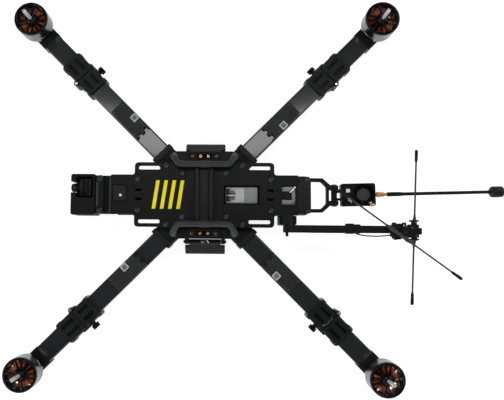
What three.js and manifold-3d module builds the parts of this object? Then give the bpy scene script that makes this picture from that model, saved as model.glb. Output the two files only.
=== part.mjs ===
// Folding four-arm multirotor airframe, millimetres, +Z up.
// The nose points along -X and the rear antennas along +X. The origin is the centre of the belly plate's
// underside. Each arm is built along its own +X and placed by a group turned about Z.
import * as THREE from 'three';
import { mergeVertices } from 'three/addons/utils/BufferGeometryUtils.js';
import Module from 'manifold-3d';

const wasm = await Module();
wasm.setup();

// Airframe plates
const DECK_TOP = 51.3;
const DECK_THICKNESS = 2;
const DECK_HALF_LENGTH = 132;
const NECK_HALF_WIDTH = 28;
const WIDE_HALF_LENGTH = 98;
const WIDE_HALF_WIDTH = 45.5;
const BULGE_HALF_LENGTH = 44;
const BULGE_HALF_WIDTH = 61.5;
const BELLY_THICKNESS = 2;
const STRAP_SLOT = { x: 77.2, y: 37.8, length: 30, width: 5 };
const SLOT_STEP = { x: 60, y: 33 };
const MODULE_WINDOW = { x0: 27.5, x1: 77.3, halfWidth: 13.1 };
const TAIL_CUTOUT = { x0: 108.7, x1: 128.6, halfWidth: 13.4 };

// Arms
const TUBE_WIDTH = 28;
const TUBE_LOW = 6;
const TUBE_HIGH = 28;
const TUBE_WALL = 1.8;
const SLEEVE_END = 89.5;
const SLEEVE_HALF_WIDTH = 16.3;
const INNER_TUBE_START = 46;
const INNER_TUBE_END = 236;
const OUTER_TUBE_START = 265.4;
const OUTER_TUBE_END = 366;
const ESC_START = 127;
const ESC_END = 181.6;
const ESC_HALF_WIDTH = 12.4;

// Fold joint
const SPLIT_X = 250.3;
const JOINT_START = 221.8;
const JOINT_END = 281.5;
const JOINT_HALF_WIDTH = 16.5;
const JOINT_LOW = 3.2;
const JOINT_HIGH = 30.8;
const PIN_OFFSET = 17.6;
const BARREL_RADIUS = 4;
const PIN_RADIUS = 2;
const KNOB_X = 242.3;

// Motors
const MOTOR_X = 351.5;
const BELL_RADIUS = 24.25;
const BELL_LOW = 34.8;
const BELL_HIGH = 64;
const SHAFT_RADIUS = 2.5;
const SHAFT_TOP = 90;

// Nose and tail
const NOSE_FACE = -154;
const CAMERA_AXIS = { x: -170, z: 31 };
const TAIL_FACE = 149;
const CRADLE_AXIS = { x: 183, y: 0.9, z: 40 };
const CRADLE_YAW = 1.7 * Math.PI / 180;
const BOOM_AXIS = { x: 113, z: 71 };
const FAN_CENTRE = { x: 222.6, y: 2 };

// Landing legs
const LEG_HINGE = { y: 65.5, z: -6 };

const COLOURS = {
  carbon: [0x1d2021, 0.45, 0.1],
  moulded: [0x17191a, 0.6, 0],
  gunmetal: [0x3a3d40, 0.3, 0.9],
  copper: [0xa2552c, 0.4, 0.8],
  grey: [0x8c8f90, 0.5, 0.2],
  gold: [0xc79a55, 0.3, 0.9],
  rubber: [0x0f1010, 0.8, 0],
};

const drone = new THREE.Group();

function material(look) {
  const [color, roughness, metalness] = COLOURS[look];
  return new THREE.MeshStandardMaterial({ color, roughness, metalness });
}

function addMesh(name, geometry, look, parent = drone) {
  const mesh = new THREE.Mesh(geometry, material(look));
  mesh.name = name;
  parent.add(mesh);
  return mesh;
}

function solidOf(geometry) {
  const bare = geometry.clone();
  bare.deleteAttribute('normal');
  bare.deleteAttribute('uv');
  const merged = mergeVertices(bare, 1e-4);
  return new wasm.Manifold(new wasm.Mesh({
    numProp: 3,
    vertProperties: new Float32Array(merged.attributes.position.array),
    triVerts: new Uint32Array(merged.index.array),
  }));
}

function geometryOf(solid) {
  const mesh = solid.getMesh();
  const geometry = new THREE.BufferGeometry();
  geometry.setAttribute('position', new THREE.BufferAttribute(new Float32Array(mesh.vertProperties), 3));
  geometry.setIndex(new THREE.BufferAttribute(new Uint32Array(mesh.triVerts), 1));
  geometry.computeVertexNormals();
  return geometry;
}

// Joins the first list and cuts the second list from it.
function carve(joined, cuts = []) {
  let solid = solidOf(joined[0]);
  for (const geometry of joined.slice(1)) {
    solid = solid.add(solidOf(geometry));
  }
  for (const geometry of cuts) {
    solid = solid.subtract(solidOf(geometry));
  }
  return geometryOf(solid);
}

// A closed outline from [x, y, rounding] corners.
function outline(corners, steps = 2) {
  const points = [];
  corners.forEach(([x, y, rounding = 0], i) => {
    const here = new THREE.Vector2(x, y);
    if (rounding === 0) {
      points.push(here);
      return;
    }
    const before = corners[(i + corners.length - 1) % corners.length];
    const after = corners[(i + 1) % corners.length];
    const start = new THREE.Vector2(before[0], before[1]).sub(here).setLength(rounding).add(here);
    const end = new THREE.Vector2(after[0], after[1]).sub(here).setLength(rounding).add(here);
    const corner = new THREE.QuadraticBezierCurve(start, here, end);
    points.push(...corner.getPoints(steps));
  });
  return new THREE.Shape(points);
}

function rectangle(x0, x1, y0, y1, rounding = 0, steps = 2) {
  return outline([[x0, y0, rounding], [x1, y0, rounding], [x1, y1, rounding], [x0, y1, rounding]], steps);
}

function slot(x, y, length, width) {
  return rectangle(x - length / 2, x + length / 2, y - width / 2, y + width / 2, width * 0.4, 1);
}

function extrudeZ(shape, low, high, bevel = 0) {
  const geometry = new THREE.ExtrudeGeometry(shape, {
    depth: high - low - 2 * bevel,
    bevelEnabled: bevel > 0,
    bevelThickness: bevel,
    bevelSize: bevel,
    bevelOffset: -bevel,
    bevelSegments: 1,
    curveSegments: 3,
  });
  geometry.translate(0, 0, low + bevel);
  return geometry;
}

// The section's coordinates are (y, z).
function extrudeX(shape, low, high, bevel = 0) {
  const geometry = extrudeZ(shape, low, high, bevel);
  const axes = [new THREE.Vector3(0, 1, 0), new THREE.Vector3(0, 0, 1), new THREE.Vector3(1, 0, 0)];
  return geometry.applyMatrix4(new THREE.Matrix4().makeBasis(...axes));
}

// The section's coordinates are (z, x).
function extrudeY(shape, low, high, bevel = 0) {
  const geometry = extrudeZ(shape, low, high, bevel);
  const axes = [new THREE.Vector3(0, 0, 1), new THREE.Vector3(1, 0, 0), new THREE.Vector3(0, 1, 0)];
  return geometry.applyMatrix4(new THREE.Matrix4().makeBasis(...axes));
}

function box(x0, x1, y0, y1, z0, z1) {
  const geometry = new THREE.BoxGeometry(x1 - x0, y1 - y0, z1 - z0);
  return geometry.translate((x0 + x1) / 2, (y0 + y1) / 2, (z0 + z1) / 2);
}

function cylinderZ(x, y, radius, low, high, sides = 12) {
  const geometry = new THREE.CylinderGeometry(radius, radius, high - low, sides);
  return geometry.rotateX(Math.PI / 2).translate(x, y, (low + high) / 2);
}

function cylinderY(x, z, radius, low, high, sides = 12) {
  const geometry = new THREE.CylinderGeometry(radius, radius, high - low, sides);
  return geometry.translate(x, (low + high) / 2, z);
}

function cylinderX(y, z, radius, low, high, sides = 12) {
  const geometry = new THREE.CylinderGeometry(radius, radius, high - low, sides);
  return geometry.rotateZ(Math.PI / 2).translate((low + high) / 2, y, z);
}

// A turned piece about Z from [radius, height] pairs.
function latheZ(profile, sides) {
  const geometry = new THREE.LatheGeometry(profile.map(([r, z]) => new THREE.Vector2(r, z)), sides);
  return geometry.rotateX(Math.PI / 2);
}

// A turned piece about a line from one point to another, from [radius, distance] pairs.
function latheAlong(from, to, profile, sides) {
  const geometry = new THREE.LatheGeometry(profile.map(([r, s]) => new THREE.Vector2(r, s)), sides);
  const direction = new THREE.Vector3().subVectors(to, from).normalize();
  const turn = new THREE.Quaternion().setFromUnitVectors(new THREE.Vector3(0, 1, 0), direction);
  return geometry.applyQuaternion(turn).translate(from.x, from.y, from.z);
}

// The airframe's plan: a long neck, a wide middle and two side bulges. The parts below the top
// plate step in under its strap slots, so a strap can pass.
function framePlan(inset, rounding = 5, stepped = false) {
  const length = DECK_HALF_LENGTH - inset;
  const neck = NECK_HALF_WIDTH - inset;
  const wide = WIDE_HALF_LENGTH - inset;
  const width = WIDE_HALF_WIDTH - inset;
  const bulge = BULGE_HALF_LENGTH - inset;
  const side = BULGE_HALF_WIDTH - inset;
  const step = [
    [wide, SLOT_STEP.y - inset],
    [SLOT_STEP.x - inset, SLOT_STEP.y - inset],
    [SLOT_STEP.x - inset, width],
  ];
  const quarter = [
    [length, neck, rounding / 2],
    [wide, neck, rounding / 2],
    ...(stepped ? step : [[wide, width, rounding]]),
    [bulge, width, rounding / 2],
    [bulge, side, rounding],
  ];
  const flipped = quarter.slice().reverse();
  return outline([
    ...quarter,
    ...flipped.map(([x, y, r]) => [-x, y, r]),
    ...quarter.map(([x, y, r]) => [-x, -y, r]),
    ...flipped.map(([x, y, r]) => [x, -y, r]),
  ]);
}

function buildPlates() {
  const cuts = [];
  const low = DECK_TOP - DECK_THICKNESS - 1;
  const high = DECK_TOP + 1;
  for (const sx of [-1, 1]) {
    for (const sy of [-1, 1]) {
      const strap = slot(sx * STRAP_SLOT.x, sy * STRAP_SLOT.y, STRAP_SLOT.length, STRAP_SLOT.width);
      cuts.push(extrudeZ(strap, low, high));
      cuts.push(extrudeZ(slot(sx * 92.5, sy * 6.3, 9, 3.2), low, high));
    }
  }
  for (const side of [-1, 1]) {
    cuts.push(box(-11.8, 11.8, side * 54 - 4.2, side * 54 + 4.2, low, high));
  }
  const half = MODULE_WINDOW.halfWidth;
  cuts.push(extrudeZ(rectangle(MODULE_WINDOW.x0, MODULE_WINDOW.x1, -half, half, 3), low, high));
  const tail = TAIL_CUTOUT.halfWidth;
  cuts.push(extrudeZ(rectangle(TAIL_CUTOUT.x0, TAIL_CUTOUT.x1, -tail, tail, 2), low, high));
  const deck = extrudeZ(framePlan(0), DECK_TOP - DECK_THICKNESS, DECK_TOP);
  addMesh('top_plate', carve([deck], cuts), 'carbon');
  addMesh('belly_plate', extrudeZ(framePlan(1, 5, true), 0, BELLY_THICKNESS), 'carbon');
}

function tubeSection(width, low, high, corner) {
  return rectangle(-width / 2, width / 2, low, high, corner, 1);
}

// The moulded wall between the two plates, a deck over the arm roots and the four arm sleeves.
function buildFrame() {
  const top = DECK_TOP - DECK_THICKNESS;
  const ring = carve(
    [extrudeZ(framePlan(1.5, 5, true), BELLY_THICKNESS, top)],
    [extrudeZ(framePlan(3.4, 0, true), BELLY_THICKNESS - 1, top + 1)],
  );
  const joined = [ring, extrudeZ(framePlan(2.5, 0, true), 31.5, 33.5)];
  const cuts = [];
  for (const degrees of [45, 135, 225, 315]) {
    const turn = degrees * Math.PI / 180;
    const sleeve = tubeSection(2 * SLEEVE_HALF_WIDTH, BELLY_THICKNESS, 32, 3);
    joined.push(extrudeX(sleeve, 40, SLEEVE_END).rotateZ(turn));
    const bore = tubeSection(TUBE_WIDTH + 0.6, TUBE_LOW - 0.3, TUBE_HIGH + 0.3, 2.8);
    cuts.push(extrudeX(bore, INNER_TUBE_START - 0.3, SLEEVE_END + 1).rotateZ(turn));
  }
  addMesh('body_frame', carve(joined, cuts), 'moulded');
}

// Power socket with two round contacts, set in the side bulge of the top plate.
function buildSocket(name, side) {
  const y = side * 54;
  const joined = [
    extrudeZ(rectangle(-22, 22, y - 7, y + 7, 3), DECK_TOP, DECK_TOP + 2.6, 0.6),
    extrudeZ(rectangle(-11.4, 11.4, y - 3.8, y + 3.8), 37, DECK_TOP + 1),
  ];
  const cuts = [extrudeZ(rectangle(-9.6, 9.6, y - 3, y + 3), 43, DECK_TOP + 4)];
  const socket = carve(joined, cuts);
  const contacts = [-5.4, 5.4].map((x) => cylinderZ(x, y, 2, 42, DECK_TOP + 1.6, 10));
  addMesh(name, carve([socket, ...contacts]), 'moulded');
}

// Round bar over each socket, standing on the plate at both ends.
function buildHandle(name, side) {
  const half = [
    [42.3, 54, DECK_TOP + 0.4],
    [42.3, 54, 55.5],
    [41.6, 51.4, 61],
    [40, 46.5, 65],
    [36, 42.4, 66.3],
    [29, 41.2, 66.4],
  ];
  const right = half.map(([x, y, z]) => new THREE.Vector3(x, side * y, z));
  const left = half.slice().reverse().map(([x, y, z]) => new THREE.Vector3(-x, side * y, z));
  const path = new THREE.CatmullRomCurve3([...right, ...left], false, 'centripetal');
  const round = new THREE.EllipseCurve(0, 0, 4.2, 4.2, 0, 2 * Math.PI).getPoints(8);
  const section = new THREE.Shape(round.slice(0, -1));
  const bar = new THREE.ExtrudeGeometry(section, { steps: 18, extrudePath: path, bevelEnabled: false });
  addMesh(name, geometryOf(solidOf(bar)), 'moulded');
}

function buildBusCover() {
  const profile = new THREE.Shape([
    [DECK_TOP, -13.4], [56.2, -13.4], [58, -12], [58, -7.4], [55.2, -5.6],
    [55.2, 5.6], [58, 7.4], [58, 12], [56.2, 13.4], [DECK_TOP, 13.4],
  ].map(([z, x]) => new THREE.Vector2(z, x)));
  addMesh('bus_cover', extrudeY(profile, -36.2, 36.2), 'moulded');
}

function buildFlightController() {
  const core = extrudeZ(rectangle(30, 75, -11.6, 11.6, 2), 33.5, 46.5, 0.8);
  addMesh('flight_controller', core, 'grey');
}

// Belly hinge bracket and the splayed leg that swings in under the belly.
function buildLeg(suffix, side) {
  const h = LEG_HINGE;
  const sideShape = (points) => new THREE.Shape(points.map(([y, z]) => new THREE.Vector2(side * y, z)));
  const lugSection = sideShape([
    [44, -4],
    [58, -4],
    [62.5, -9.3],
    [h.y, -10],
    [69.3, h.z],
    [67.4, -1.9],
    [60.5, 0],
    [44, 0],
  ]);
  const plate = box(-30, 30, Math.min(side * 44, side * 58), Math.max(side * 44, side * 58), -4, 0);
  const lugs = [extrudeX(lugSection, -30, -24), extrudeX(lugSection, 24, 30)];
  const bore = cylinderX(side * h.y, h.z, 1.9, -40, 40);
  addMesh(`leg_bracket_${suffix}`, carve([plate, ...lugs], [bore]), 'moulded');

  const blade = sideShape([
    [73.6, -10.6],
    [81.4, -18.4],
    [84, -21.5],
    [84, -30],
    [74, -30],
    [74, -18.1],
    [70.1, -14.1],
  ]);
  const neck = sideShape([[67.3, -4.2], [75, -12], [71.5, -15.5], [63.7, -7.8]]);
  const joined = [
    extrudeX(blade, -30, 30, 0.8),
    extrudeX(neck, -23.7, 23.7),
    cylinderX(side * h.y, h.z, BARREL_RADIUS, -23.7, 23.7, 14),
    cylinderX(side * h.y, h.z, 1.8, -32, 32),
  ];
  addMesh(`leg_${suffix}`, carve(joined), 'moulded');
}

function buildNose() {
  const bracket = [
    box(NOSE_FACE, -DECK_HALF_LENGTH, -26.8, 26.8, 18, 46),
    extrudeZ(rectangle(-152, -141.5, -26.8, 26.8, 3), 40, 52, 0.6),
  ];
  addMesh('nose_bracket', carve(bracket), 'moulded');

  const shell = extrudeZ(rectangle(-189, NOSE_FACE, -29, 29, 3), 12, 48, 1);
  const pocket = extrudeZ(rectangle(-182.4, -157.6, -4.6, 25.4, 2.5), 16, 60);
  const mouth = box(-195, -180, 2.6, 18.4, 15.5, 60);
  const cavity = box(-185, -158, -25.5, -8.5, 16, 60);
  const lid = box(-186, -157, -26, -8, 44.5, 48);
  const rearVent = box(-187, -157, -20, -14, 4, 20);
  const housing = carve([carve([shell], [pocket, mouth, cavity, rearVent]), lid]);
  addMesh('camera_housing', housing, 'moulded');

  const { x, z } = CAMERA_AXIS;
  const half = 8.4;
  const square = outline([
    [z - half, x - half, 2],
    [z - half, x + half, 2],
    [z + half, x + half, 2],
    [z + half, x - half, 2],
  ], 2);
  const block = extrudeY(square, -2, 22.8);
  const barrel = latheAlong(
    new THREE.Vector3(x - 7, 10.5, z),
    new THREE.Vector3(x - 30, 10.5, z),
    [[0, 0], [5, 0], [5, 5.5], [6.2, 6], [6.2, 13.6], [4.8, 14.6], [3.6, 12.6], [0, 13.4]],
    14,
  );
  addMesh('camera', carve([block, barrel]), 'moulded');
}

function buildTailClamp() {
  const upper = outline([
    [DECK_HALF_LENGTH, -26.8],
    [141, -26.8],
    [TAIL_FACE, -24.4, 2],
    [TAIL_FACE, 24.4, 2],
    [141, 26.8],
    [DECK_HALF_LENGTH, 26.8],
  ]);
  const joined = [
    box(DECK_HALF_LENGTH, 144, -26.8, 26.8, 18, 46),
    extrudeZ(upper, 30, 50.4),
    box(138.5, 147.5, -24, -9.5, 50, 51.8),
    box(138.5, 147.5, 9.5, 24, 50, 51.8),
  ];
  addMesh('tail_clamp', carve(joined), 'moulded');
}

// Forked arm behind the tail clamp with two ears for the transmitter cradle's pin.
function buildYoke() {
  const half = [
    [TAIL_FACE, 24.2], [166.3, 24], [178, 13.6, 2], [186, 13.6, 2], [186, 7.6], [175.2, 7.6],
  ];
  const inner = [[171.8, 11.6, 2], [164.3, 19.2, 2], [TAIL_FACE, 19.5]];
  const mirror = (list) => list.slice().reverse().map(([x, y, r]) => [x, -y, r]);
  const plan = outline([...half, ...mirror(half), ...mirror(inner), ...inner]);
  const { x, y, z } = CRADLE_AXIS;
  const arms = extrudeZ(plan, 35.5, 44.5).translate(0, y, 0);
  const ears = [-1, 1].map((s) => {
    const near = y + s * 7.6;
    const far = y + s * 13.6;
    return cylinderY(x, z, 6.2, Math.min(near, far), Math.max(near, far), 16);
  });
  const bore = cylinderY(x, z, 2.6, -40, 40);
  addMesh('tail_yoke', carve([arms, ...ears], [bore]), 'moulded');
}

// Moves a piece drawn along +X from the cradle's pin to its place, with the cradle's slight yaw.
function onCradle(geometry) {
  const { x, y, z } = CRADLE_AXIS;
  return geometry.rotateZ(CRADLE_YAW).translate(x, y, z);
}

function buildCradle() {
  const { x, y, z } = CRADLE_AXIS;
  const barrel = cylinderY(x, z, 4.2, y - 7.2, y + 7.2, 14);
  const pin = cylinderY(x, z, 2.5, y - 15, y + 15);
  const joined = [barrel, pin];
  for (const s of [-1, 1]) {
    joined.push(onCradle(box(0, 10, s * 5.4 - 1.6, s * 5.4 + 1.6, -3.6, -1.2)));
    joined.push(onCradle(box(0, 8, s * 5.4 - 1.6, s * 5.4 + 1.6, -3.6, 1)));
  }
  joined.push(onCradle(extrudeZ(rectangle(8.6, 55.6, -15.6, 15.6, 2), -3.6, -1.2)));
  addMesh('antenna_cradle', carve(joined), 'moulded');

  const body = extrudeZ(rectangle(8.4, 56.4, -15.9, 15.9, 3), -1.2, 8, 0.8);
  const fanX = FAN_CENTRE.x - x;
  const well = cylinderZ(fanX, 0, 15, 0.6, 12, 24);
  addMesh('video_transmitter', geometryOf(solidOf(onCradle(carve([body], [well])))), 'moulded');

  const hub = cylinderZ(fanX, 0, 8.8, 1.2, 7.4, 16);
  const blades = [];
  for (let i = 0; i < 7; i += 1) {
    const blade = box(7.5, 14.2, -0.6, 0.6, -2.6, 2.6).rotateX(0.6);
    blades.push(blade.rotateZ(i * 2 * Math.PI / 7).translate(fanX, 0, 4.1));
  }
  addMesh('transmitter_fan', onCradle(carve([hub, ...blades])), 'moulded');

  const axis = [new THREE.Vector3(56.4, 0, 1.5), new THREE.Vector3(250, 0, 1.5)];
  const plug = [
    [0, 0],
    [2.6, 0],
    [2.6, 2.4],
    [3.9, 3],
    [3.9, 8.6],
    [3.3, 9.2],
    [3.3, 13],
    [2.2, 13.4],
    [2.2, 17.4],
    [0, 17.4],
  ];
  addMesh('antenna_plug', onCradle(latheAlong(...axis, plug, 12)), 'gold');
  const stalk = [
    [0, 17.4], [3, 17.4], [3, 36], [2.3, 40], [2.3, 160.5], [4.6, 162], [7.2, 164.4], [7.9, 168.5],
    [7.7, 174.5], [6.4, 178.2], [0, 178.8],
  ];
  addMesh('video_antenna', onCradle(latheAlong(...axis, stalk, 14)), 'rubber');
}

function buildBoom() {
  const { x, z } = BOOM_AXIS;
  const post = [
    extrudeZ(rectangle(103.6, 126.8, -41.8, -28, 2), 34, 48),
    extrudeZ(rectangle(103.6, 126.8, -41.8, -29, 2), 48, 66),
    cylinderY(x, z, 7, -41.8, -30, 16),
    box(x - 7, x + 7, -41.8, -30, 60, z),
    cylinderY(x, z, 2, -57.4, -35),
  ];
  addMesh('boom_post', carve(post), 'moulded');

  const bar = [
    cylinderY(x, z, 5.3, -52.2, -42.1, 14),
    extrudeX(rectangle(-52.2, -42.1, z - 5.2, z + 5.2, 1.2, 2), x, 230),
    extrudeX(rectangle(-51.4, -43, z - 4.2, z + 4.2, 1.2, 2), 228, 251),
    extrudeX(rectangle(-53.4, -39.4, z - 6, z + 6, 2, 2), 192, 211, 1),
  ];
  const eye = cylinderY(x, z, 2.1, -60, -30);
  addMesh('antenna_boom', carve(bar, [eye]), 'moulded');
}

// The two T antennas: one straight rod each, with cones at the middle and sleeves at the tips.
function buildWhips() {
  const upright = [new THREE.Vector3(279.1, -147.3, 71), new THREE.Vector3(288.7, 61.3, 71)];
  const slanted = [new THREE.Vector3(342.5, -112.3, 79), new THREE.Vector3(180.7, 5.3, 79)];
  const profile = (length, centre) => [
    [0, 0], [2.1, 0.8], [2.1, 15], [1.2, 17], [1.2, centre - 22], [3.2, centre - 12], [2.4, centre - 10.5],
    [2.4, centre + 10.5], [3.2, centre + 12], [1.2, centre + 22], [1.2, length - 17], [2.1, length - 15],
    [2.1, length - 0.8], [0, length],
  ];
  const rods = [
    ['whip_cross', upright, 98],
    ['whip_slant', slanted, 100],
  ];
  for (const [name, [from, to], centre] of rods) {
    addMesh(name, latheAlong(from, to, profile(from.distanceTo(to), centre), 8), 'rubber');
  }

  const along = (line, centre, radius, reach) => {
    const direction = new THREE.Vector3().subVectors(line[1], line[0]).normalize();
    const middle = line[0].clone().addScaledVector(direction, centre);
    const start = middle.clone().addScaledVector(direction, -reach);
    const end = middle.clone().addScaledVector(direction, reach);
    return latheAlong(start, end, [[0, 0], [radius, 0], [radius, 2 * reach], [0, 2 * reach]], 10);
  };
  const mountPlan = outline([
    [252.3, -56],
    [262, -58, 2],
    [276, -56, 2],
    [289, -57, 3],
    [289, -41, 3],
    [276, -38, 2],
    [262, -38, 2],
    [252.3, -40],
  ]);
  const joined = [
    extrudeZ(mountPlan, 66, 76, 1),
    along(upright, 98, 5.6, 10),
    along(slanted, 100, 5.2, 10),
    extrudeZ(rectangle(254, 272, -58.5, -46, 2), 70, 80),
  ];
  const cuts = [along(upright, 98, 2.8, 14), along(slanted, 100, 2.8, 14)];
  addMesh('antenna_mount', carve(joined, cuts), 'moulded');
}

// Half of a fold joint; side is +1 where the pin is on the arm's +Y side.
function jointHalf(x0, x1, low, high, side) {
  const shell = extrudeX(rectangle(-JOINT_HALF_WIDTH, JOINT_HALF_WIDTH, JOINT_LOW, JOINT_HIGH, 3, 1), x0, x1);
  const cuts = [];
  const grooveStart = x0 + 4.5;
  const grooveEnd = x1 - 4.5;
  for (const y of [-6.5, 6.5]) {
    const groove = rectangle(grooveStart, grooveEnd, y - 2, y + 2);
    cuts.push(extrudeZ(groove, JOINT_HIGH - 1.4, JOINT_HIGH + 1));
  }
  const knuckles = [];
  for (const [z0, z1] of high) {
    knuckles.push(cylinderZ(SPLIT_X, side * PIN_OFFSET, BARREL_RADIUS, z0, z1, 14));
    const inward = x0 < SPLIT_X - 2 ? -1 : 1;
    const web = [SPLIT_X, SPLIT_X + inward * 8];
    const y = [side * (PIN_OFFSET - BARREL_RADIUS), side * PIN_OFFSET];
    knuckles.push(box(Math.min(...web), Math.max(...web), Math.min(...y), Math.max(...y), z0, z1));
  }
  for (const [z0, z1] of low) {
    cuts.push(cylinderZ(SPLIT_X, side * PIN_OFFSET, BARREL_RADIUS + 0.5, z0, z1, 14));
  }
  return { shell, cuts, knuckles };
}

function buildArm(suffix, degrees, side) {
  const arm = new THREE.Group();
  arm.rotation.z = degrees * Math.PI / 180;
  drone.add(arm);

  const section = tubeSection(TUBE_WIDTH, TUBE_LOW, TUBE_HIGH, 2.5);
  const hollow = tubeSection(TUBE_WIDTH - 2 * TUBE_WALL, TUBE_LOW + TUBE_WALL, TUBE_HIGH - TUBE_WALL, 1);
  const innerTube = carve(
    [extrudeX(section, INNER_TUBE_START, INNER_TUBE_END)],
    [extrudeX(hollow, INNER_TUBE_START - 1, INNER_TUBE_END + 1)],
  );
  addMesh(`arm_inner_${suffix}`, innerTube, 'carbon', arm);
  const outerTube = carve(
    [extrudeX(section, OUTER_TUBE_START, OUTER_TUBE_END)],
    [extrudeX(hollow, OUTER_TUBE_START - 1, OUTER_TUBE_END - 4)],
  );
  addMesh(`arm_outer_${suffix}`, outerTube, 'carbon', arm);

  // Speed controller cover with a notched inner edge.
  const w = ESC_HALF_WIDTH;
  const cover = outline([
    [ESC_START, -w], [ESC_END, -w + 0.8, 2], [ESC_END, w - 0.8, 2], [ESC_START, w],
    [ESC_START, 7.5], [ESC_START + 4, 5.5], [ESC_START + 4, 2.5], [ESC_START, 1], [ESC_START, -4],
    [ESC_START + 5, -5.5], [ESC_START + 5, -9.5], [ESC_START, -10.5],
  ]);
  addMesh(`speed_controller_${suffix}`, extrudeZ(cover, TUBE_HIGH, 33.8, 0.7), 'moulded', arm);

  // Fold joint. The inner half carries the pin; the knuckles interleave.
  const clear = 0.35;
  const middle = [12, 22];
  const ends = [[JOINT_LOW, middle[0] - clear], [middle[1] + clear, JOINT_HIGH]];
  const clearTube = tubeSection(TUBE_WIDTH + 0.6, TUBE_LOW - 0.3, TUBE_HIGH + 0.3, 2.6);
  const bore = extrudeX(clearTube, JOINT_START - 1, INNER_TUBE_END + 0.3);
  const inner = jointHalf(JOINT_START, SPLIT_X - 0.2, [[middle[0] - clear, middle[1] + clear]], ends, side);
  const pin = cylinderZ(SPLIT_X, side * PIN_OFFSET, PIN_RADIUS, JOINT_LOW, JOINT_HIGH + 1.4);
  const knobY = side > 0 ? [-20, -6] : [6, 20];
  const thread = cylinderY(KNOB_X, 17, 2.1, ...knobY);
  const innerHalf = carve([carve([inner.shell], inner.cuts), ...inner.knuckles, pin], [bore, thread]);
  addMesh(`joint_inner_${suffix}`, innerHalf, 'moulded', arm);

  const outerBore = extrudeX(clearTube, OUTER_TUBE_START - 0.3, JOINT_END + 1);
  const outerReliefs = [[JOINT_LOW - 1, middle[0]], [middle[1], JOINT_HIGH + 2]];
  const outer = jointHalf(SPLIT_X + 0.2, JOINT_END, outerReliefs, [middle], side);
  const pinHole = cylinderZ(SPLIT_X, side * PIN_OFFSET, PIN_RADIUS + 0.1, 5, 29);
  const outerHalf = carve([carve([outer.shell], outer.cuts), ...outer.knuckles], [outerBore, pinHole]);
  addMesh(`joint_outer_${suffix}`, outerHalf, 'moulded', arm);

  // Thumb screw that locks the joint, on the side away from the pin.
  const away = -side;
  const grip = new THREE.CylinderGeometry(5.65, 5.65, 5.3, 16).translate(KNOB_X, away * 22.2, 17);
  const stemFar = away * 20;
  const stemNear = away * 9;
  const stem = cylinderY(KNOB_X, 17, 2, Math.min(stemNear, stemFar), Math.max(stemNear, stemFar));
  addMesh(`joint_knob_${suffix}`, carve([grip, stem]), 'moulded', arm);

  buildMotor(suffix, arm);
}

// Outrunner: a fixed base with twelve wound teeth, and the turning bell with its shaft.
function buildMotor(suffix, arm) {
  const star = [];
  for (let i = 0; i < 12; i += 1) {
    for (const [offset, radius] of [[-0.2, 12.5], [-0.13, 20.6], [0.13, 20.6], [0.2, 12.5]]) {
      const angle = (i + offset * 1.8) * Math.PI / 6;
      star.push(new THREE.Vector2(radius * Math.cos(angle), radius * Math.sin(angle)));
    }
  }
  const base = latheZ([[0, TUBE_HIGH], [16.8, TUBE_HIGH], [16.8, 33], [9, 36], [9, 40], [0, 40]], 18);
  const teeth = extrudeZ(new THREE.Shape(star), 37.5, 56.5);
  const stator = carve([base, teeth], [cylinderZ(0, 0, SHAFT_RADIUS + 0.1, 27, 60)]);
  addMesh(`motor_stator_${suffix}`, stator.translate(MOTOR_X, 0, 0), 'copper', arm);

  const shell = latheZ([
    [0, 58.6], [22, 58.6], [22, BELL_LOW], [BELL_RADIUS, BELL_LOW], [BELL_RADIUS, 61.6], [22, BELL_HIGH],
    [8.6, 61.6], [7, 65.6], [0, 65.6],
  ], 20);
  const windows = [];
  for (let i = 0; i < 6; i += 1) {
    const turn = (i + 0.5) * Math.PI / 3;
    const window = new THREE.Shape([[9.4, -3.6], [18.6, -8.4], [20.6, 0], [18.6, 8.4], [9.4, 3.6]]
      .map(([x, y]) => new THREE.Vector2(x, y).rotateAround(new THREE.Vector2(), turn)));
    windows.push(extrudeZ(window, 57, 67));
  }
  const shaft = cylinderZ(0, 0, SHAFT_RADIUS, 30, SHAFT_TOP);
  const bell = carve([carve([shell], windows), shaft]);
  addMesh(`motor_bell_${suffix}`, bell.translate(MOTOR_X, 0, 0), 'gunmetal', arm);
}

buildPlates();
buildFrame();
buildBusCover();
buildFlightController();
for (const [suffix, side] of [['left', -1], ['right', 1]]) {
  buildSocket(`power_socket_${suffix}`, side);
  buildHandle(`handle_${suffix}`, side);
  buildLeg(suffix, side);
}
buildNose();
buildTailClamp();
buildYoke();
buildCradle();
buildBoom();
buildWhips();

const ARMS = [
  ['rear_right', 45, -1],
  ['front_right', 135, 1],
  ['front_left', 225, -1],
  ['rear_left', 315, 1],
];
for (const [suffix, degrees, side] of ARMS) {
  buildArm(suffix, degrees, side);
}

export default drone;
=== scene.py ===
import math

import bmesh
import bpy
from mathutils import Matrix, Vector


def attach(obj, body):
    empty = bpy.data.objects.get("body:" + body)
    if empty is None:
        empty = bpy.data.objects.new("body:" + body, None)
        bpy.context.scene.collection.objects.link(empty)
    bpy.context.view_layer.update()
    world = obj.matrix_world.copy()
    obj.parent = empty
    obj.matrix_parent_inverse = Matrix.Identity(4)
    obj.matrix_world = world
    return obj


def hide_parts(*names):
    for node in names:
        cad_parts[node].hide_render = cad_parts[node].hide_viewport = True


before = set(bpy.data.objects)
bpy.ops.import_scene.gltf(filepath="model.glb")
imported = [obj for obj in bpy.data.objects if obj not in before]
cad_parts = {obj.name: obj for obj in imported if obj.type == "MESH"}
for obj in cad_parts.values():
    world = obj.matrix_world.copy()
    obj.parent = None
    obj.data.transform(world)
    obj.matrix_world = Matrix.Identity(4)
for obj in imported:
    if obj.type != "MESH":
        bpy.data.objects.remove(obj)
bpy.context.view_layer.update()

MM = 0.001
ARMS = {"rear_right": (45, -1), "front_right": (135, 1), "front_left": (225, -1), "rear_left": (315, 1)}
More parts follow.
